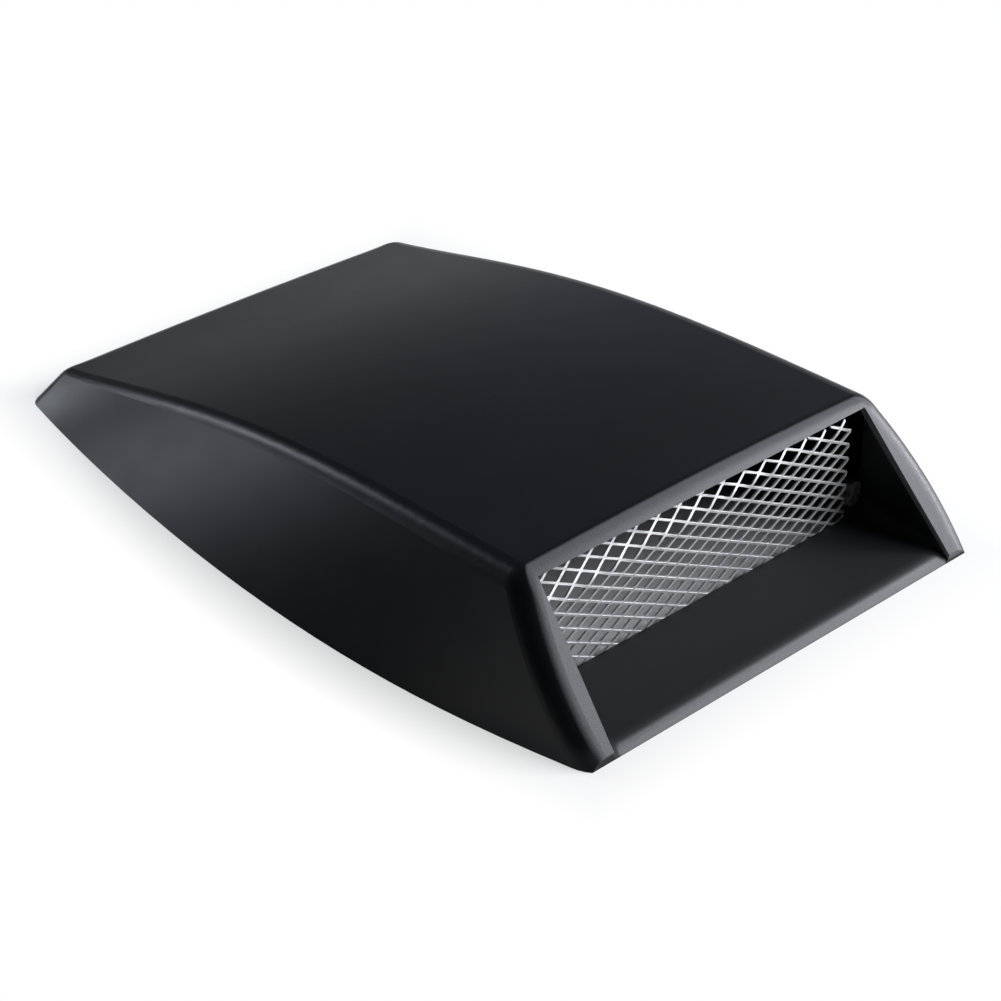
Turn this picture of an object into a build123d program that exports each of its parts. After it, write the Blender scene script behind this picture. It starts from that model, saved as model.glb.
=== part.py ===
from build123d import *
import math
import os

# Bonnet scoop: a moulded cover that sits on a car bonnet, low at the nose and open at a raked
# mouth, with a bent sheet of expanded metal glued in behind the mouth.
# Millimetres, +X towards the mouth, +Z up, origin under the middle of the footprint.

# Footprint of the cover
LENGTH = 340.0
NOSE_HALF_WIDTH = 106.0
WIDEST_HALF_WIDTH = 121.5
WIDEST_X = 10.0
MOUTH_HALF_WIDTH = 99.4

# Roof: a lightly crowned panel with parallel side edges, rising from the nose to the lip
ROOF_HALF_WIDTH = 90.0
ROOF_CROWN = 1.0
ROOF_NOSE_HEIGHT = 9.0
ROOF_LIP_HEIGHT = 54.3
ROOF_RISE = [(-120.0, 21.3), (-60.0, 35.8), (0.0, 45.7), (60.0, 50.9)]
FLANK_BULGE = 0.8

# Rounded edges of the cover
CORNER_RADIUS = 10.0
EDGE_RADIUS = 10.0
LIP_RADIUS = 12.0

# Wall of the moulding
WALL = 2.8

# Mouth: a raked plane with a flat floor and two cheeks that run back to the mesh
MOUTH_RAKE = 42.3
FLOOR_HEIGHT = 3.6
OPENING_HEIGHT = 50.9
OPENING_REAR_HALF_WIDTH = 84.0
OPENING_FRONT_HALF_WIDTH = 87.7
CHEEK_DRAFT = 0.9
CHEEK_WALL = 2.4
FLOOR_LIP_LENGTH = 7.0
FLOOR_LIP_DROP = 3.2
FLOOR_FILLET_REAR = 9.0
FLOOR_FILLET_FRONT = 1.5

# Bonding ledge round the base, with a shallow recess for foam tape
LEDGE_WIDTH = 15.0
LEDGE_THICKNESS = 2.4
TAPE_THICKNESS = 0.8
TAPE_WIDTH = 10.0
TAPE_SIDE_CLEARANCE = 0.4
TAPE_CORNER_GAP = 8.0

# Expanded metal sheet, cut from stock, stood behind the mouth and bent back along a slanting line
MESH_THICKNESS = 0.9
MESH_STRAND = 1.1
MESH_CELL_LENGTH = 10.9
MESH_CELL_HEIGHT = 6.25
MESH_TURN = 2.0
MESH_CELL_Y = 0.7
MESH_CELL_Z = 24.95
MESH_RIGHT_GAP = 7.5
MESH_FOOT_HEIGHT = 1.1
MESH_BEND_LEFT = 35.0
MESH_BEND_RIGHT = 46.7
MESH_LEAN = 45.0
MESH_SEAT_GAP = 0.1
MESH_TOP_GAP = 0.7

# Hot glue that holds the sheet at its ends: two dabs on the left, one lump in the gap on the right
GLUE_DAB_RADIUS = 3.8
GLUE_DAB_HEIGHTS = (11.0, 27.0)
GLUE_LUMP_RADIUS = 5.6
GLUE_LUMP_HEIGHT = 14.0
GLUE_PROUD = 0.9

HALF_LENGTH = LENGTH / 2
OPENING_REAR_X = HALF_LENGTH - (OPENING_HEIGHT - FLOOR_HEIGHT) * math.tan(math.radians(MOUTH_RAKE))
LEDGE_TOP = TAPE_THICKNESS + LEDGE_THICKNESS
BELOW = 8.0
ABOVE = ROOF_LIP_HEIGHT + 20.0
BESIDE = WIDEST_HALF_WIDTH + 20.0


def mouth_x(z, inset=0.0):
    """Where the raked mouth plane, moved back by inset, stands at height z."""
    rake = math.radians(MOUTH_RAKE)
    return HALF_LENGTH - (z - FLOOR_HEIGHT) * math.tan(rake) - inset / math.cos(rake)


def base_half_width(x):
    """Half width of the footprint at x: one arc from the widest place towards each end."""
    if x > WIDEST_X:
        run, drop = HALF_LENGTH - WIDEST_X, WIDEST_HALF_WIDTH - MOUTH_HALF_WIDTH
    else:
        run, drop = HALF_LENGTH + WIDEST_X, WIDEST_HALF_WIDTH - NOSE_HALF_WIDTH
    curvature = 2 * drop / (run**2 + drop**2)
    along = x - WIDEST_X
    return WIDEST_HALF_WIDTH - curvature * along**2 / (1 + math.sqrt(1 - (curvature * along) ** 2))


def roof_stations():
    """Stations along the roof as (x, height on the centre line), from the nose to past the foot."""
    lip_x = mouth_x(ROOF_LIP_HEIGHT)
    end_x = mouth_x(-BELOW) + WALL
    lip_slope = (ROOF_LIP_HEIGHT - ROOF_RISE[-1][1]) / (lip_x - ROOF_RISE[-1][0])
    end_height = ROOF_LIP_HEIGHT + lip_slope * (end_x - lip_x)
    return [(-HALF_LENGTH, ROOF_NOSE_HEIGHT), *ROOF_RISE, (lip_x, ROOF_LIP_HEIGHT), (end_x, end_height)]


def cross_section(x, height, inset):
    """Section across the cover at x, moved inwards by inset and carried on below the base."""
    crease_height = height - ROOF_CROWN
    lean = math.atan2(base_half_width(x) - ROOF_HALF_WIDTH, crease_height)
    base_y = base_half_width(x) - inset / math.cos(lean)
    crease_z = crease_height - inset
    crease_y = base_y - crease_z * math.tan(lean)
    bulge = FLANK_BULGE * height / ROOF_LIP_HEIGHT
    bulge_at_base = 4 * bulge * BELOW / (BELOW + crease_z) / math.cos(lean)
    foot_y = base_y + BELOW * math.tan(lean) - bulge_at_base
    outline = [
        Line((-foot_y, -BELOW), (foot_y, -BELOW)),
        SagittaArc((foot_y, -BELOW), (crease_y, crease_z), -bulge),
        SagittaArc((crease_y, crease_z), (-crease_y, crease_z), -ROOF_CROWN),
        SagittaArc((-crease_y, crease_z), (-foot_y, -BELOW), -bulge),
    ]
    return Plane((x, 0, 0), x_dir=(0, 1, 0), z_dir=(1, 0, 0)) * make_face(outline)


def across(*profile):
    """Solid with the given closed profile of (x, z) curves, right across the cover."""
    return extrude(Plane.XZ * make_face(profile), BESIDE, both=True)


def rounded_lump(inset):
    """The cover as a solid lump with its rounded edges, every face moved inwards by inset."""
    sections = [cross_section(x, height, inset) for x, height in roof_stations()]
    nose_x = -HALF_LENGTH + inset
    ends = [
        (nose_x, -BELOW),
        (mouth_x(-BELOW, inset), -BELOW),
        (mouth_x(ABOVE, inset), ABOVE),
        (nose_x, ABOVE),
    ]
    lump = loft(sections) & across(Polyline(*ends, close=True))

    def side_edges():
        beside = [edge for edge in lump.edges() if abs(edge.center().Y) > ROOF_HALF_WIDTH / 2]
        return [edge for edge in beside if edge.center().Z > WALL - BELOW]

    def cross_edges():
        middle = [edge for edge in lump.edges() if abs(edge.center().Y) < WALL and edge.center().Z > 0]
        return sorted(middle, key=lambda edge: edge.center().X)

    nose_corners = [edge for edge in side_edges() if edge.bounding_box().max.X < nose_x + WALL]
    lump = fillet(nose_corners, CORNER_RADIUS - inset)
    lump = fillet(cross_edges()[-1], LIP_RADIUS - inset)
    long_way_round = [edge for edge in side_edges() if edge.bounding_box().max.Z > WALL] + cross_edges()[:1]
    return fillet(long_way_round, EDGE_RADIUS - inset)


def flat_prism(face, bottom, top):
    """Upright prism on a flat outline between two heights."""
    return extrude(Pos(0, 0, bottom) * face, top - bottom)


def footprint(inset):
    """Outline of the cover on the bonnet, moved inwards by inset."""
    side = []
    for x0, x1 in ((-HALF_LENGTH, WIDEST_X), (WIDEST_X, HALF_LENGTH)):
        xm = (x0 + x1) / 2
        side.append([(x, base_half_width(x)) for x in (x0, xm, x1)])
    curves = [ThreePointArc(*points) for points in side]
    curves += [mirror(curve, Plane.XZ) for curve in curves]
    curves.append(Line((-HALF_LENGTH, -NOSE_HALF_WIDTH), (-HALF_LENGTH, NOSE_HALF_WIDTH)))
    curves.append(Line((HALF_LENGTH, -MOUTH_HALF_WIDTH), (HALF_LENGTH, MOUTH_HALF_WIDTH)))
    outline = fillet(make_face(curves).vertices().filter_by(is_corner), CORNER_RADIUS)
    return offset(outline, -inset, kind=Kind.ARC) if inset else outline


def is_corner(vertex):
    """True at the four outer corners of the footprint."""
    return abs(vertex.X) > HALF_LENGTH - WALL


def mouth_section(x, grow, drop, corner):
    """Section of the mouth across the cover at x, its walls moved outwards by grow."""
    reach = (x - OPENING_REAR_X) / (HALF_LENGTH - OPENING_REAR_X)
    widening = OPENING_FRONT_HALF_WIDTH - OPENING_REAR_HALF_WIDTH
    floor_y = OPENING_REAR_HALF_WIDTH + widening * reach + grow
    floor_z = FLOOR_HEIGHT - drop
    top_y = floor_y - (ABOVE - floor_z) * math.tan(math.radians(CHEEK_DRAFT))
    plane = Plane((x, 0, 0), x_dir=(0, 1, 0), z_dir=(1, 0, 0))
    points = [(-top_y, ABOVE), (-floor_y, floor_z), (floor_y, floor_z), (top_y, ABOVE)]
    face = make_face(Polyline(*points, close=True))
    low = face.vertices().sort_by(Axis.Y)[:2]
    return plane * fillet(low, corner)


def mouth_space(grow, drop):
    """Space of the mouth from the mesh forwards, with hollow corners that fade out at the rim."""
    front_x = HALF_LENGTH + WALL
    rear = mouth_section(OPENING_REAR_X, grow, drop, FLOOR_FILLET_REAR + grow)
    front = mouth_section(front_x, grow, drop, FLOOR_FILLET_FRONT + grow)
    return loft([rear, front], ruled=True)


def lip_rounding():
    """What is taken off the front edge of the floor to roll it down, between the two rims."""
    radius = (FLOOR_LIP_LENGTH**2 + FLOOR_LIP_DROP**2) / (2 * FLOOR_LIP_DROP)
    roll_x, low_z = HALF_LENGTH - FLOOR_LIP_LENGTH, FLOOR_HEIGHT - FLOOR_LIP_DROP
    turn = math.degrees(math.asin(FLOOR_LIP_LENGTH / radius))
    roll = CenterArc((roll_x, FLOOR_HEIGHT - radius), radius, 90 - turn, turn)
    outer = Polyline(
        (roll_x, FLOOR_HEIGHT),
        (roll_x, FLOOR_HEIGHT + WALL),
        (HALF_LENGTH + WALL, FLOOR_HEIGHT + WALL),
        (HALF_LENGTH + WALL, low_z),
        (HALF_LENGTH, low_z),
    )
    return across(roll, outer) & mouth_space(0.0, FLOOR_LIP_DROP)


def block(x0, x1, half_width, z0, z1):
    """Box between two values of x and of z, centred across the cover."""
    corner = Pos(x0, 0, z0)
    return corner * Box(x1 - x0, 2 * half_width, z1 - z0, align=(Align.MIN, Align.CENTER, Align.MIN))


def make_cover():
    """The moulded cover: skin, mouth rim, cheeks and floor, and the bonding ledge inside its foot."""
    outside = rounded_lump(0.0) & block(-HALF_LENGTH, HALF_LENGTH, BESIDE, 0, ABOVE)
    inside = rounded_lump(WALL) & block(-HALF_LENGTH, HALF_LENGTH - WALL, BESIDE, -BELOW, ABOVE)
    mouth_walls = mouth_space(CHEEK_WALL, FLOOR_HEIGHT - TAPE_THICKNESS)
    ledge = flat_prism(footprint(0.0), -BELOW, LEDGE_TOP)
    ledge -= flat_prism(footprint(LEDGE_WIDTH), -2 * BELOW, 2 * LEDGE_TOP)
    tape_recess = flat_prism(footprint(WALL), -BELOW, TAPE_THICKNESS)
    bay_half_width = OPENING_REAR_HALF_WIDTH - math.tan(math.radians(CHEEK_DRAFT)) * OPENING_HEIGHT
    mesh_bay = block(
        OPENING_REAR_X - LIP_RADIUS,
        OPENING_REAR_X,
        bay_half_width,
        OPENING_HEIGHT / 2,
        OPENING_HEIGHT,
    )
    cover = outside - (inside - mouth_walls - ledge)
    for space in (tape_recess, mesh_bay, mouth_space(0.0, 0.0) + lip_rounding()):
        cover -= space
    return cover


def tape_strips():
    """Foam tape in the recess: one strip along each flank and one across the nose and the mouth."""
    outer = WALL + TAPE_SIDE_CLEARANCE
    band = flat_prism(footprint(outer), 0, TAPE_THICKNESS)
    band -= flat_prism(footprint(outer + TAPE_WIDTH), -BELOW, BELOW)
    end_x = HALF_LENGTH - outer - TAPE_WIDTH
    side_x = end_x - TAPE_CORNER_GAP
    ends_y = MOUTH_HALF_WIDTH - outer - TAPE_WIDTH - TAPE_CORNER_GAP
    middle = Box(2 * side_x, 4 * BESIDE, BELOW)
    return {
        "tape_right": band & middle & Pos(0, -BESIDE, 0) * Box(LENGTH, 2 * BESIDE, BELOW),
        "tape_left": band & middle & Pos(0, BESIDE, 0) * Box(LENGTH, 2 * BESIDE, BELOW),
        "tape_nose": band & Pos(-HALF_LENGTH, 0, 0) * Box(2 * (HALF_LENGTH - end_x), 2 * ends_y, BELOW),
        "tape_mouth": band & Pos(HALF_LENGTH, 0, 0) * Box(2 * (HALF_LENGTH - end_x), 2 * ends_y, BELOW),
    }


def mesh_edges():
    """The mesh's left and right edges as values of y, behind the cheeks."""
    return -OPENING_REAR_HALF_WIDTH, OPENING_REAR_HALF_WIDTH - MESH_RIGHT_GAP


def mesh_outline():
    """Flat outline of the mesh, cut long enough above its bend to reach the roof when bent."""
    left, right = mesh_edges()
    ceiling = OPENING_HEIGHT - MESH_TOP_GAP - ROOF_CROWN / 2
    stretch = 1 / math.cos(math.radians(MESH_LEAN))
    high_left = MESH_BEND_LEFT + (ceiling - MESH_BEND_LEFT) * stretch
    high_right = MESH_BEND_RIGHT + (ceiling - MESH_BEND_RIGHT) * stretch
    corners = [(left, MESH_FOOT_HEIGHT), (right, MESH_FOOT_HEIGHT), (right, high_right), (left, high_left)]
    return make_face(Polyline(*corners, close=True))


def diamonds():
    """The openings of the expanded metal, as flat diamonds in rows that step by half a cell."""
    half_long, half_short = MESH_CELL_LENGTH / 2, MESH_CELL_HEIGHT / 2
    strand_reach = half_long * half_short / math.hypot(half_long, half_short)
    open_share = 1 - MESH_STRAND / 2 / strand_reach
    a, b = half_long * open_share, half_short * open_share
    diamond = make_face(Polyline((a, 0), (0, b), (-a, 0), (0, -b), close=True))
    left, right = mesh_edges()
    columns = math.ceil((right - left) / 2 / half_long) + 2
    rows = math.ceil(OPENING_HEIGHT / 2 / half_short) + 3
    middle = Pos(MESH_CELL_Y, MESH_CELL_Z) * Rot(0, 0, MESH_TURN)
    return [
        middle * Pos(i * half_long, j * half_short) * diamond
        for i in range(-columns, columns + 1)
        for j in range(-rows, rows + 1)
        if (i + j) % 2 == 0
    ]


def folded(flat, thickness):
    """A flat face in (y, z) made a sheet behind the mouth, its part above the bend leant back."""
    left, right = mesh_edges()
    bend = [(left, MESH_BEND_LEFT), (right, MESH_BEND_RIGHT)]
    above = make_face(Polyline(*bend, (right, 2 * ABOVE), (left, 2 * ABOVE), close=True))
    axis = Axis((*bend[0], 0), (bend[1][0] - bend[0][0], bend[1][1] - bend[0][1], 0))
    upright = extrude(flat - above, -thickness)
    leant = extrude(flat & above, -thickness).rotate(axis, -MESH_LEAN)
    front = Plane((OPENING_REAR_X - MESH_SEAT_GAP, 0, 0), x_dir=(0, 1, 0), z_dir=(1, 0, 0))
    return front * (upright + leant)


def make_mesh():
    """The bent sheet of expanded metal, without the clippings that its trimmed edges leave loose."""
    sheet = folded(mesh_outline() - diamonds(), MESH_THICKNESS)
    return sheet.solids().sort_by(SortBy.VOLUME)[-1]


def glue_balls():
    """The glue as balls on the back of the mesh: (y, z, radius) of each."""
    left, right = mesh_edges()
    dabs = [(left + GLUE_DAB_RADIUS / 2, z, GLUE_DAB_RADIUS) for z in GLUE_DAB_HEIGHTS]
    return dabs + [(right + MESH_RIGHT_GAP / 2, GLUE_LUMP_HEIGHT, GLUE_LUMP_RADIUS)]


def make_glue(cover):
    """Glue that lies against the back of the mesh, past its edges, and against the cover there."""
    sheet = folded(mesh_outline(), MESH_THICKNESS + MESH_SEAT_GAP + GLUE_PROUD)
    sheet = Pos(MESH_SEAT_GAP + GLUE_PROUD, 0, 0) * sheet
    proud_x = OPENING_REAR_X + GLUE_PROUD
    room = block(proud_x - 2 * GLUE_LUMP_RADIUS, proud_x, BESIDE, 0, OPENING_HEIGHT)
    back_x = OPENING_REAR_X - MESH_SEAT_GAP - MESH_THICKNESS
    balls = [(Pos(back_x, y, z) * Sphere(radius)) & room for y, z, radius in glue_balls()]
    return Compound([(ball - sheet - cover).solids().sort_by(SortBy.VOLUME)[-1] for ball in balls])


def build():
    """Every piece by the name of its node."""
    cover = make_cover()
    pieces = {"cover": cover, "mesh_grille": make_mesh(), "glue_dabs": make_glue(cover)}
    pieces.update(tape_strips())
    return pieces


if __name__ == "__main__":
    os.makedirs("parts", exist_ok=True)
    for name, piece in build().items():
        export_step(piece, f"parts/{name}.step")
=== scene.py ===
import math

import bpy
import numpy as np
from mathutils import Matrix, Vector


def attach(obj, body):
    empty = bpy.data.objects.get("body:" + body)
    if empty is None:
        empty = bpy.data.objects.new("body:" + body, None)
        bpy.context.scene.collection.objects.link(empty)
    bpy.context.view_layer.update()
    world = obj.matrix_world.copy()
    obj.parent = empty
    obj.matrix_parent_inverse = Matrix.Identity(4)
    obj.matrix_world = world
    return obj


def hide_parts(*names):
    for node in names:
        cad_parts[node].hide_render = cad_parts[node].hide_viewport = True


MM = 0.001
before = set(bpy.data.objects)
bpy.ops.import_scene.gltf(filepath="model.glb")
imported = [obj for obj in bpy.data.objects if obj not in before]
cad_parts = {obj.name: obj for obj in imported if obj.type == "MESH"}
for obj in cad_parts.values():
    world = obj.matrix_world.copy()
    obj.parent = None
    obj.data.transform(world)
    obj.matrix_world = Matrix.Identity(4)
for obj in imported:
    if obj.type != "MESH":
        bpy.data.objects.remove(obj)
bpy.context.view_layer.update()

# Camera, at the photograph's viewpoint. Pixels are those of the photograph.

PICTURE_WIDTH = 1001
FOCAL_LENGTH_PIXELS = 2316.35
OFF_CENTRE_PIXELS = (-22.69, -7.6)
CAMERA_PLACE = Vector((600.24, -514.07, 500.26)) * MM
CAMERA_AZIMUTH = math.radians(48.145)
CAMERA_ELEVATION = math.radians(32.996)
SENSOR_WIDTH = 36.0
NEAREST_SEEN, FURTHEST_SEEN = 0.01, 50.0


def add_camera():
    """The photograph's viewpoint, as a place, a heading and a lens."""
    data = bpy.data.cameras.new("camera")
    data.sensor_width = SENSOR_WIDTH
    data.lens = FOCAL_LENGTH_PIXELS / PICTURE_WIDTH * SENSOR_WIDTH
    data.shift_x, data.shift_y = (pixels / PICTURE_WIDTH for pixels in OFF_CENTRE_PIXELS)
    data.clip_start = NEAREST_SEEN
    data.clip_end = FURTHEST_SEEN
    camera = bpy.data.objects.new("camera", data)
    bpy.context.collection.objects.link(camera)
    camera.location = CAMERA_PLACE
    camera.rotation_euler = (math.pi / 2 - CAMERA_ELEVATION, 0.0, CAMERA_AZIMUTH)
    bpy.context.scene.camera = camera


# Finishes. Lengths are in metres, and colours are linear red, green, blue and alpha.
# A noise is given as its scale, detail and roughness, and a relief as its strength and depth.

NOISE_SPREAD = (0.3, 0.7)
MOTTLE_SPREAD = (0.35, 0.65)


class Nodes:
    """The nodes of a material or of the world, with short calls that add one and join it to others."""

    def __init__(self, owner, output_kind):
        owner.use_nodes = True
        self.owner = owner
        self.output_kind = output_kind
        self.tree = owner.node_tree
        self.tree.nodes.clear()

    def add(self, kind, inputs=None, **settings):
        node = self.tree.nodes.new(kind)
        for key, value in settings.items():
            setattr(node, key, value)
        for key, value in (inputs or {}).items():
            self.put(node.inputs[key], value)
        return node

    def put(self, socket, value):
        if isinstance(value, bpy.types.NodeSocket):
            self.tree.links.new(value, socket)
        else:
            socket.default_value = value

    def place(self):
        return self.add("ShaderNodeTexCoord").outputs["Object"]

    def axes(self, vector):
        return self.add("ShaderNodeSeparateXYZ", {"Vector": vector}).outputs

    def noise(self, vector, scale, detail, roughness):
        values = {"Vector": vector, "Scale": scale, "Detail": detail, "Roughness": roughness}
        return self.add("ShaderNodeTexNoise", values).outputs["Fac"]

    def span(self, value, low, high, to_low, to_high, **settings):
        values = {"Value": value, "From Min": low, "From Max": high, "To Min": to_low, "To Max": to_high}
        return self.add("ShaderNodeMapRange", values, **settings).outputs["Result"]

    def vary(self, noise, to_low, to_high):
        """A value that follows a noise from one end of a range to the other."""
        return self.span(noise, *NOISE_SPREAD, to_low, to_high)

    def math(self, operation, *values):
        node = self.add("ShaderNodeMath", operation=operation)
        for socket, value in zip(node.inputs, values):
            self.put(socket, value)
        return node.outputs["Value"]

    def blend(self, amount, a, b):
        node = self.add("ShaderNodeMix", {"Factor": amount, "A": a, "B": b}, data_type="RGBA")
        return node.outputs["Result"]

    def mottle(self, noise, a, b, spread=MOTTLE_SPREAD):
        """Two colours in soft patches that follow a noise."""
        return self.blend(self.span(noise, *spread, 0.0, 1.0), a, b)

    def relief(self, height, strength, depth, normal=None):
        values = {"Height": height, "Strength": strength, "Distance": depth}
        if normal is not None:
            values["Normal"] = normal
        return self.add("ShaderNodeBump", values).outputs["Normal"]

    def surface(self, values):
        """A surface of one shader, which ends a material."""
        return self.end(self.add("ShaderNodeBsdfPrincipled", values).outputs["BSDF"])

    def end(self, shader):
        self.add(self.output_kind, {"Surface": shader})
        return self.owner


def material_nodes(name):
    return Nodes(bpy.data.materials.new(name), "ShaderNodeOutputMaterial")


BLACK_DARK, BLACK_PALE = (0.0052, 0.0056, 0.0065, 1.0), (0.0070, 0.0076, 0.0090, 1.0)
# A pale colour painted along the mouth's trimmed rim as a highlight.
BLACK_RIM_HIGHLIGHT = (0.126, 0.129, 0.137, 1.0)
BLACK_DUSTY = (0.0155, 0.0164, 0.0180, 1.0)
BLACK_ROUGHNESS = (0.33, 0.36)
BLACK_GRAIN_ROUGHNESS = 0.015
BLACK_DUSTY_ROUGHNESS = 0.16
BLACK_IOR = 1.25
FLOW_MARKS = (14.0, 4.0, 0.55)
GLOSS_CLOUDS = (60.0, 3.0, 0.5)
MOULD_GRAIN = (2600.0, 2.0, 0.6)
MOULD_RIPPLE = (420.0, 2.0, 0.5)
GRAIN_RELIEF = (0.10, 0.00006)
RIPPLE_RELIEF = (0.06, 0.0002)

# Where the painted highlight lies along the mouth's trimmed rim.
RIM_FACING = (0.74, 0.67)
RIM_DEPTH = 0.1270
RIM_FADE = 0.0008
RIM_SIDE_FADE = (0.084, 0.088)
RIM_WIDER_BETWEEN_SIDES = 0.0014
RIM_NEAR_SIDE_FADE = (-0.087, -0.083)
RIM_NARROWER_NEAR_SIDE = 0.0011
RIM_HIGHLIGHT_SPREAD = (0.6, 1.0)
MOUTH_FLOOR_TOP_FADE = (0.004, 0.008)
MOUTH_FLOOR_REAR_FADE = (0.126, 0.128)


def moulded_black():
    """Satin black moulded plastic: fine moulded grain, faint flow marks and a slightly uneven gloss.

    A highlight is painted along the trimmed edge of the mouth, in a much paler colour. It is where a
    point's x and z, weighed by RIM_FACING and added up, pass RIM_DEPTH. Along the lip and the floor the
    painted highlight band is wider than on the sides, and on the near side it keeps to the flat of the
    rim. The floor of the mouth has a dusty, coarser finish.
    """
    m = material_nodes("moulded_black")
    place = m.place()
    flow = m.noise(place, *FLOW_MARKS)
    clouds = m.noise(place, *GLOSS_CLOUDS)
    grain = m.noise(place, *MOULD_GRAIN)
    ripple = m.noise(place, *MOULD_RIPPLE)
    x, y, z = m.axes(place)
    toward_rim = m.math("MULTIPLY_ADD", x, RIM_FACING[0], m.math("MULTIPLY", z, RIM_FACING[1]))
    wider = m.span(m.math("ABSOLUTE", y), *RIM_SIDE_FADE, RIM_WIDER_BETWEEN_SIDES, 0.0)
    narrower = m.span(y, *RIM_NEAR_SIDE_FADE, RIM_NARROWER_NEAR_SIDE, 0.0)
    toward_rim = m.math("ADD", toward_rim, m.math("SUBTRACT", wider, narrower))
    rim = m.span(toward_rim, RIM_DEPTH - RIM_FADE, RIM_DEPTH, 0.0, 1.0)
    # Painted highlight along the trimmed rim, varied by the grain.
    rim_highlight = m.math("MULTIPLY", rim, m.vary(grain, *RIM_HIGHLIGHT_SPREAD))
    low = m.span(z, *MOUTH_FLOOR_TOP_FADE, 1.0, 0.0)
    floor = m.math("MULTIPLY", low, m.span(x, *MOUTH_FLOOR_REAR_FADE, 0.0, 1.0))
    dusty = m.math("MULTIPLY", floor, m.math("SUBTRACT", 1.0, rim))
    colour = m.mottle(flow, BLACK_DARK, BLACK_PALE)
    colour = m.blend(rim_highlight, colour, BLACK_RIM_HIGHLIGHT)
    colour = m.blend(dusty, colour, BLACK_DUSTY)
    grain_roughness = m.vary(grain, -BLACK_GRAIN_ROUGHNESS, BLACK_GRAIN_ROUGHNESS)
    roughness = m.math("ADD", m.vary(clouds, *BLACK_ROUGHNESS), grain_roughness)
    roughness = m.math("ADD", roughness, m.math("MULTIPLY", dusty, BLACK_DUSTY_ROUGHNESS))
    normal = m.relief(grain, *GRAIN_RELIEF, m.relief(ripple, *RIPPLE_RELIEF))
    return m.surface({"Base Color": colour, "Roughness": roughness, "Normal": normal, "IOR": BLACK_IOR})


ALUMINIUM_BRIGHT, ALUMINIUM_DULL = (0.66, 0.665, 0.67, 1.0), (0.50, 0.505, 0.51, 1.0)
ALUMINIUM_DULL_SPREAD = (0.35, 0.7)
ALUMINIUM_ROUGHNESS = (0.64, 0.72)
STREAK_ROUGHNESS = 0.04
ROLLING_STREAKS = (1800.0, 3.0, 0.6)
ROLLING_STRETCH = (1.0, 0.15, 1.0)
DULL_PATCHES = (160.0, 3.0, 0.5)
STREAK_RELIEF = (0.15, 0.00005)


def mill_aluminium():
    """Rolled aluminium: fine rolling streaks along the sheet and a few duller patches."""
    m = material_nodes("mill_aluminium")
    place = m.place()
    stretched = m.add("ShaderNodeMapping", {"Vector": place, "Scale": ROLLING_STRETCH}).outputs["Vector"]
    streaks = m.noise(stretched, *ROLLING_STREAKS)
    patches = m.noise(place, *DULL_PATCHES)
    colour = m.mottle(patches, ALUMINIUM_BRIGHT, ALUMINIUM_DULL, ALUMINIUM_DULL_SPREAD)
    streak_roughness = m.vary(streaks, -STREAK_ROUGHNESS, STREAK_ROUGHNESS)
    roughness = m.math("ADD", m.vary(patches, *ALUMINIUM_ROUGHNESS), streak_roughness)
    normal = m.relief(streaks, *STREAK_RELIEF)
    return m.surface({"Base Color": colour, "Roughness": roughness, "Normal": normal, "Metallic": 1.0})


GLUE_CLEAR, GLUE_MILKY = (0.048, 0.048, 0.046, 1.0), (0.108, 0.106, 0.100, 1.0)
GLUE_ROUGHNESS = (0.18, 0.32)
GLUE_MILK = (420.0, 3.0, 0.5)
GLUE_RIPPLE = (700.0, 2.0, 0.5)
GLUE_RELIEF = (0.4, 0.0004)


def cloudy_glue():
    """Cloudy hot-melt glue: a milky grey body with a wet surface and small ripples."""
    m = material_nodes("cloudy_glue")
    place = m.place()
    milk = m.noise(place, *GLUE_MILK)
    colour = m.mottle(milk, GLUE_CLEAR, GLUE_MILKY)
    normal = m.relief(m.noise(place, *GLUE_RIPPLE), *GLUE_RELIEF)
    return m.surface({"Base Color": colour, "Roughness": m.vary(milk, *GLUE_ROUGHNESS), "Normal": normal})


FOAM_PORE, FOAM_SKIN = (0.008, 0.008, 0.008, 1.0), (0.022, 0.022, 0.023, 1.0)
FOAM_ROUGHNESS = (0.82, 0.95)
PORE_SCALE = 1400.0
PORE_EDGE = (0.1, 0.5)
FOAM_CLOUDS = (120.0, 3.0, 0.5)
PORE_RELIEF = (0.5, 0.0003)


def foam_tape():
    """Closed-cell foam tape: dull black with small open pores."""
    m = material_nodes("foam_tape")
    place = m.place()
    pores = m.add("ShaderNodeTexVoronoi", {"Vector": place, "Scale": PORE_SCALE}).outputs["Distance"]
    colour = m.mottle(pores, FOAM_PORE, FOAM_SKIN, PORE_EDGE)
    roughness = m.vary(m.noise(place, *FOAM_CLOUDS), *FOAM_ROUGHNESS)
    normal = m.relief(pores, *PORE_RELIEF)
    return m.surface({"Base Color": colour, "Roughness": roughness, "Normal": normal})


def dress(node, material):
    """Gives every slot of one of the frame's pieces the same material."""
    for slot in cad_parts[node].material_slots:
        slot.material = material


# Mesh grille. Lengths are in millimetres.

MESH_FRONT = 126.3
MESH_LEFT, MESH_RIGHT = -84.0, 76.5
MESH_FOOT, MESH_TOP = 1.7, 48.6
CELL_ORIGIN_HEIGHT = 4.0
CELL_LENGTH, CELL_HEIGHT = 10.9, 6.25
CELL_TURN = math.radians(2.02)
CELL_SHIFT = (-0.3665, 0.3575)
CELLS_EACH_WAY = 40
STEPS_PER_CELL = 24
STRAND_ROWS = range(-4, 22)
STRAND_WIDTH, STRAND_THICKNESS = 1.1, 0.9
STRAND_CUT_CORNER = 0.08
STRAND_TILT = math.radians(6.0)
STRAND_SMOOTH_BELOW = math.radians(40.0)
SHORTEST_STRAND_STEPS = 8
BOND_STEP = 0.4
BOND_SHARE = 0.05
BEND_LEFT, BEND_RIGHT = 35.0, 46.5
BEND_ANGLE = math.radians(45.0)
BEND_LENGTH = 4.0


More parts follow.
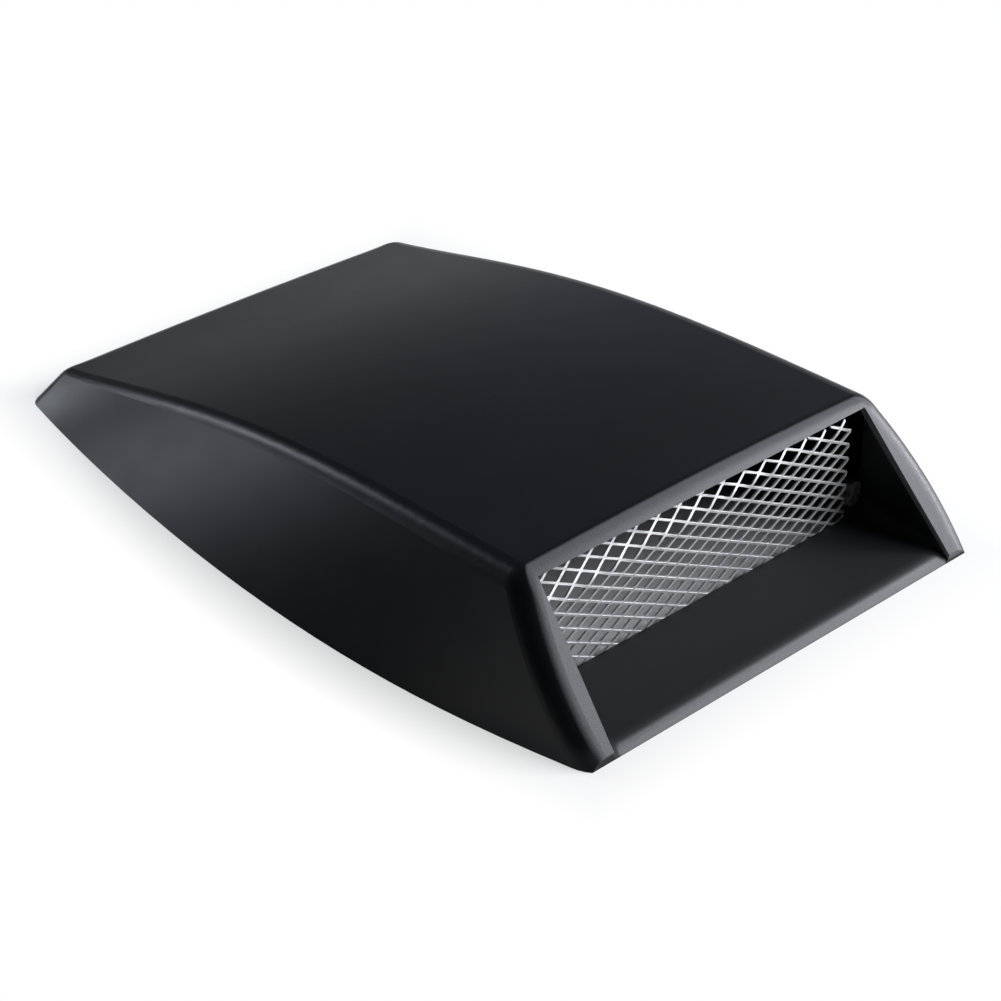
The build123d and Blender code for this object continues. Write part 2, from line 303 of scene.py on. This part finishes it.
def bent(y, t, depth):
    """Where a point of the flat sheet goes when it is bent.

    The sheet is flat below a slanting line. With s the distance above that line, the sheet turns
    along an arc for BEND_LENGTH of s and then runs on straight, leant back by BEND_ANGLE. Depth is
    measured along the sheet's own front normal, which turns with it.
    """
    line = np.array([MESH_RIGHT - MESH_LEFT, BEND_RIGHT - BEND_LEFT])
    line = line / np.hypot(*line)
    up = np.array([-line[1], line[0]])
    from_bend = np.stack([y - MESH_LEFT, t - BEND_LEFT], axis=-1)
    along = from_bend @ line
    s = from_bend @ up
    radius = BEND_LENGTH / BEND_ANGLE
    angle = np.clip((s + BEND_LENGTH / 2) / BEND_LENGTH, 0.0, 1.0) * BEND_ANGLE
    beyond = np.maximum(s - BEND_LENGTH / 2, 0.0)
    below = np.minimum(s + BEND_LENGTH / 2, 0.0)
    rise = below - BEND_LENGTH / 2 + radius * np.sin(angle) + beyond * math.cos(BEND_ANGLE)
    back = radius * (1 - np.cos(angle)) + beyond * math.sin(BEND_ANGLE)
    lift = rise + depth * np.sin(angle)
    x = MESH_FRONT - back + depth * np.cos(angle)
    y = MESH_LEFT + along * line[0] + lift * up[0]
    z = BEND_LEFT + along * line[1] + lift * up[1]
    return np.stack([x, y, z], axis=-1)


def strand_wave(a, row):
    """Height and depth of one strand's middle at the distance a along the sheet.

    A clipped triangle wave: the strand runs level through each bond and straight between two bonds,
    up to the bond above it and down to the bond below it. It lies in front at its valleys and behind
    at its peaks by half the bond step times the sine of its tilt.
    """
    swing = (CELL_HEIGHT / 2 - BOND_STEP) / 2
    phase = a / CELL_LENGTH - CELL_SHIFT[0] - row / 2
    to_valley = np.abs(phase - np.round(phase)) * 2
    wave = np.clip((to_valley - 0.5) / (0.5 - BOND_SHARE), -1.0, 1.0)
    middle = CELL_HEIGHT * ((row + 0.5) / 2 + CELL_SHIFT[1])
    depth = -wave * BOND_STEP / 2 * math.sin(STRAND_TILT)
    return middle + swing * wave, depth


def strand_section():
    """The strand's tilted section as (up the sheet, out of it): a rectangle with cut corners."""
    w, t, c = STRAND_WIDTH / 2, STRAND_THICKNESS / 2, STRAND_CUT_CORNER
    upper_side = [(w, t - c), (w - c, t), (c - w, t), (-w, t - c)]
    wide, thick = np.array(upper_side + [(-u, -v) for u, v in upper_side]).T
    across = wide * math.cos(STRAND_TILT) - thick * math.sin(STRAND_TILT)
    out = wide * math.sin(STRAND_TILT) + thick * math.cos(STRAND_TILT)
    return across, out


def strand_pieces(row):
    """Points and faces of one strand of the expanded sheet, as cut along the sheet's four edges.

    The strand is swept along its wave and closed at its ends. Each stretch that lies between the
    edges is a piece of its own.
    """
    first = CELL_LENGTH * (CELL_SHIFT[0] + row / 2)
    reach = CELLS_EACH_WAY * STEPS_PER_CELL
    a = first + CELL_LENGTH / STEPS_PER_CELL * np.arange(-reach, reach + 1)
    b, depth = strand_wave(a, row)
    y = a * math.cos(CELL_TURN) - b * math.sin(CELL_TURN)
    t = CELL_ORIGIN_HEIGHT + a * math.sin(CELL_TURN) + b * math.cos(CELL_TURN)
    inside = (y > MESH_LEFT) & (y < MESH_RIGHT) & (t > MESH_FOOT) & (t < MESH_TOP)
    edges = np.flatnonzero(np.diff(np.concatenate([[0], inside.astype(int), [0]])))
    across, out = strand_section()
    sides = len(across)
    for start, stop in zip(edges[::2], edges[1::2]):
        count = stop - start
        if count < SHORTEST_STRAND_STEPS:
            continue
        ys = y[start:stop, None] - across[None, :] * math.sin(CELL_TURN)
        ts = t[start:stop, None] + across[None, :] * math.cos(CELL_TURN)
        ds = depth[start:stop, None] + out[None, :]
        i = np.arange(count - 1)[:, None] * sides
        j = np.arange(sides)[None, :]
        k = (j + 1) % sides
        quads = np.stack([i + j, i + k, i + sides + k, i + sides + j], axis=-1).reshape(-1, 4)
        caps = [list(range(sides))[::-1], list(range((count - 1) * sides, count * sides))]
        yield bent(ys, ts, ds).reshape(-1, 3), quads, caps


def make_piece(name, points, faces, material):
    """A mesh object whose place is in its vertices, given in millimetres."""
    mesh = bpy.data.meshes.new(name)
    mesh.from_pydata((np.asarray(points) * MM).tolist(), [], faces)
    mesh.validate()
    mesh.update()
    mesh.materials.append(material)
    piece = bpy.data.objects.new(name, mesh)
    bpy.context.collection.objects.link(piece)
    return piece


def add_expanded_mesh(material):
    """The sheet of expanded metal: its strands, one above another, joined at their bonds."""
    points, faces, base = [], [], 0
    for row in STRAND_ROWS:
        for strand, quads, caps in strand_pieces(row):
            points.append(strand)
            faces += (quads + base).tolist() + [[corner + base for corner in cap] for cap in caps]
            base += len(strand)
    piece = make_piece("expanded_mesh", np.concatenate(points), faces, material)
    piece.data.shade_smooth()
    piece.data.set_sharp_from_angle(angle=STRAND_SMOOTH_BELOW)
    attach(piece, "root")
    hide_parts("mesh_grille")


# Light and table. Lengths are in metres. A fade is its start and end, and its level at each.

ROOM_LEVEL = 0.02
ROOM_COLOUR = (0.92, 0.98, 1.07, 1.0)
WALL_SIDE = (-0.342, 0.940, 0.0)
WALL_UPWARD_FADE = (0.15, 0.68, 1.0, 0.0)
WALL_SIDEWAYS_FADE = (0.60, 1.0, 0.0, 0.65)

PALE_TINT, COOL_TINT = (0.98, 0.99, 1.03), (0.93, 0.98, 1.09)
# Name, place, the point it faces, width and height, power in watts and tint of each soft box
SOFTBOXES = (
    ("mouth_softbox", (0.81, 0.86, 0.73), (0.14, 0.0, 0.02), (1.0, 0.66), 20.5, PALE_TINT),
    ("rim_softbox", (0.43, 1.25, 0.25), (0.16, 0.09, 0.02), (0.42, 0.30), 6.5, PALE_TINT),
    ("lip_softbox", (0.30, 0.95, 0.89), (0.13, 0.0, 0.05), (0.34, 0.26), 5.0, PALE_TINT),
    ("crease_softbox", (-1.01, -0.25, 0.62), (0.0, -0.05, 0.02), (0.14, 0.54), 4.3, COOL_TINT),
    ("flank_softbox", (-0.98, -0.63, 0.31), (0.0, -0.05, 0.02), (0.34, 0.30), 1.9, COOL_TINT),
)

FOOTPRINT_HALF_LENGTH = 0.170
FOOTPRINT_WIDEST, FOOTPRINT_WIDEST_X = 0.1215, 0.010
FOOTPRINT_CURVE, FOOTPRINT_SKEW = 0.67, 1.1
FOOT_FADE = (-0.008, -0.002)
EDGE_GLOW = 0.60
SHADOW_REACH = 0.022
TABLE_WHITE = (0.86, 0.86, 0.87, 1.0)
# Painted shade on the table under the scoop, from dark to pale.
HOLLOW_SHADE_DARK, HOLLOW_SHADE_PALE = (0.14, 0.14, 0.14, 1.0), (0.74, 0.74, 0.75, 1.0)
HOLLOW_SLANT = 0.4
HOLLOW_FADE = (0.050, 0.125)
GLOW_WHITE = (1.0, 1.0, 1.0, 1.0)
TABLE_RINGS_MM = (300.0, 600.0, 1200.0, 2400.0, 5000.0)
TABLE_SIDES = 48
TABLE_BELOW_FOOT_MM = 0.05


def add_softbox(name, place, faced, size, power, tint):
    """A rectangular studio light, turned towards a point."""
    data = bpy.data.lights.new(name, "AREA")
    data.shape = "RECTANGLE"
    data.size, data.size_y = size
    data.energy = power
    data.color = tint
    lamp = bpy.data.objects.new(name, data)
    bpy.context.collection.objects.link(lamp)
    heading = Vector(faced) - Vector(place)
    turn = heading.to_track_quat("-Z", "Y").to_matrix().to_4x4()
    lamp.matrix_world = Matrix.Translation(place) @ turn


def add_room():
    """Studio surroundings: dark overhead, with a pale wall low down on one side.

    The wall's brightness falls off smoothly upwards, and sideways from the direction of WALL_SIDE.
    """
    world = bpy.data.worlds.new("studio")
    bpy.context.scene.world = world
    room = Nodes(world, "ShaderNodeOutputWorld")
    way = room.add("ShaderNodeTexCoord").outputs["Generated"]
    facing = room.add("ShaderNodeVectorMath", {0: way, 1: WALL_SIDE}, operation="DOT_PRODUCT")
    smooth = {"interpolation_type": "SMOOTHSTEP"}
    upward = room.span(room.axes(way)["Z"], *WALL_UPWARD_FADE, **smooth)
    sideways = room.span(facing.outputs["Value"], *WALL_SIDEWAYS_FADE, **smooth)
    level = room.math("ADD", room.math("MULTIPLY", upward, sideways), ROOM_LEVEL)
    light = room.add("ShaderNodeBackground", {"Color": ROOM_COLOUR, "Strength": level})
    room.end(light.outputs["Background"])


def white_table():
    """White table: it keeps a soft shadow close to the foot of the scoop and is plain white further out.

    With a = x - WIDEST_X, the scoop's footprint is half as wide as WIDEST - (CURVE + SKEW a) a^2, and
    the distance from it is the larger of |x| - HALF_LENGTH and |y| less that half width. Inside the
    footprint a shade is painted on the table: the paint darkens from the mouth towards the nose, and
    towards +y.
    """
    m = material_nodes("studio_floor")
    x, y, _ = m.axes(m.place())
    a = m.math("SUBTRACT", x, FOOTPRINT_WIDEST_X)
    curve = m.math("MULTIPLY_ADD", a, FOOTPRINT_SKEW, FOOTPRINT_CURVE)
    curve = m.math("MULTIPLY", m.math("MULTIPLY", a, a), curve)
    beside = m.math("SUBTRACT", m.math("ADD", m.math("ABSOLUTE", y), curve), FOOTPRINT_WIDEST)
    beyond = m.math("SUBTRACT", m.math("ABSOLUTE", x), FOOTPRINT_HALF_LENGTH)
    away = m.math("MAXIMUM", beside, beyond)
    at_foot = m.span(away, *FOOT_FADE, 0.0, EDGE_GLOW)
    further = m.span(away, 0.0, SHADOW_REACH, 0.0, 1.0 - EDGE_GLOW)
    path = m.add("ShaderNodeLightPath").outputs
    mirrored = m.math("MAXIMUM", path["Is Glossy Ray"], path["Is Transmission Ray"])
    seen = m.math("MAXIMUM", path["Is Camera Ray"], mirrored)
    share = m.math("MULTIPLY", m.math("ADD", at_foot, further), seen)
    # Painted shade under the scoop: the table darkens from the mouth towards the nose and towards +y.
    toward_mouth = m.math("MULTIPLY_ADD", y, -HOLLOW_SLANT, x)
    painted_hollow_shade = m.blend(m.span(toward_mouth, *HOLLOW_FADE, 0.0, 1.0), HOLLOW_SHADE_DARK, HOLLOW_SHADE_PALE)
    colour = m.blend(m.span(away, *FOOT_FADE, 0.0, 1.0), painted_hollow_shade, TABLE_WHITE)
    paint = m.add("ShaderNodeBsdfDiffuse", {"Color": colour}).outputs["BSDF"]
    glow = m.add("ShaderNodeEmission", {"Color": GLOW_WHITE, "Strength": 1.0}).outputs["Emission"]
    return m.end(m.add("ShaderNodeMixShader", {0: share, 1: paint, 2: glow}).outputs["Shader"])


def add_table():
    """A flat round table: a middle point and rings of points about it, just under the scoop's foot."""
    turn = np.linspace(0.0, 2 * math.pi, TABLE_SIDES, endpoint=False)
    circle = np.stack([np.cos(turn), np.sin(turn), np.zeros_like(turn)], axis=-1)
    rings = [circle * radius for radius in TABLE_RINGS_MM]
    points = np.concatenate([np.zeros((1, 3)), *rings]) - (0.0, 0.0, TABLE_BELOW_FOOT_MM)
    i = np.arange(TABLE_SIDES)
    after = (i + 1) % TABLE_SIDES
    faces = np.stack([np.zeros_like(i), i + 1, after + 1], axis=-1).tolist()
    for ring in range(len(rings) - 1):
        inner = 1 + ring * TABLE_SIDES
        outer = inner + TABLE_SIDES
        faces += np.stack([inner + i, outer + i, outer + after, inner + after], axis=-1).tolist()
    make_piece("studio_floor", points, faces, white_table())


bpy.context.scene.view_settings.view_transform = "Standard"
add_camera()
dress("cover", moulded_black())
dress("glue_dabs", cloudy_glue())
tape = foam_tape()
for node in ("tape_left", "tape_right", "tape_nose", "tape_mouth"):
    dress(node, tape)
add_expanded_mesh(mill_aluminium())
add_room()
for softbox in SOFTBOXES:
    add_softbox(*softbox)
add_table()
